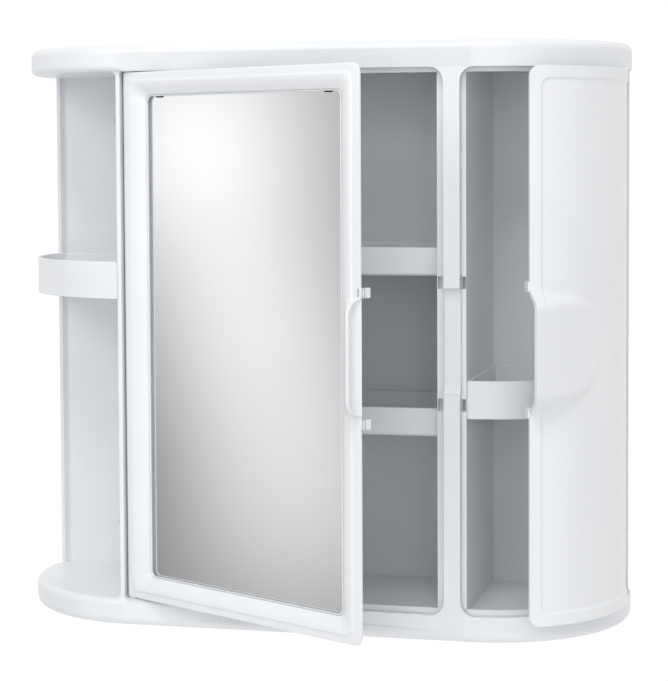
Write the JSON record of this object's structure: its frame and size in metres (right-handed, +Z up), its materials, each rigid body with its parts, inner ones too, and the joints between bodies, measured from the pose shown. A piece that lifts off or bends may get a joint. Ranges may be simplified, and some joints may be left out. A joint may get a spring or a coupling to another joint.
{
  "type": "medicine cabinet",
  "caption": "wall-hung bathroom medicine cabinet with rounded ends, an open side bay, a mirror door and a curved side door",
  "frame": {"origin": "on the wall, in the middle of the four wall screw holes, at the cabinet's mid-width and mid-height", "axes": "+X to the right seen from the front, +Y into the wall, +Z up"},
  "size_m": [0.5762, 0.3007, 0.53],
  "materials": {
    "body_plastic": "smooth moulded white plastic with a soft sheen",
    "panel_plastic": "smooth white plastic sheet",
    "door_plastic": "smooth moulded white plastic with a soft sheen",
    "mirror": "silvered float glass",
    "backing": "foamed grey sheet",
    "screw_steel": "zinc-plated steel",
    "pin_steel": "ground steel",
    "clip_steel": "dark spring steel",
    "bush_plastic": "natural bearing plastic"
  },
  "bodies": {
    "cabinet": {"top_case": "body_plastic", "top_cover": "body_plastic", "bottom_case": "body_plastic", "bottom_cover": "body_plastic", "centre_upright": "body_plastic", "left_divider": "body_plastic", "back_panel": "panel_plastic", "left_tray": "body_plastic", "upper_shelf": "body_plastic", "lower_shelf": "body_plastic", "right_tray": "body_plastic", "back_panel_screws": "screw_steel", "mirror_door_bushes": "bush_plastic", "side_door_bushes": "bush_plastic"},
    "mirror_door": {"mirror_door_frame": "door_plastic", "mirror_door_back": "door_plastic", "mirror_glass": "mirror", "mirror_backing_sheet": "backing", "mirror_clips": "clip_steel", "mirror_door_pivots": "pin_steel"},
    "side_door": {"side_door_shell": "door_plastic", "side_door_pivots": "pin_steel"}
  },
  "joints": [
    {"name": "mirror_door_hinge", "type": "hinge", "parent": "cabinet", "child": "mirror_door", "pos_m": [-0.1539, -0.144, 0], "axis": [0, 0, -1], "range_deg": [-28.9, 60]},
    {"name": "side_door_hinge", "type": "hinge", "parent": "cabinet", "child": "side_door", "pos_m": [0.2672, -0.038, 0], "axis": [0, 0, 1], "range_deg": [-27.2, 63]}
  ]
}
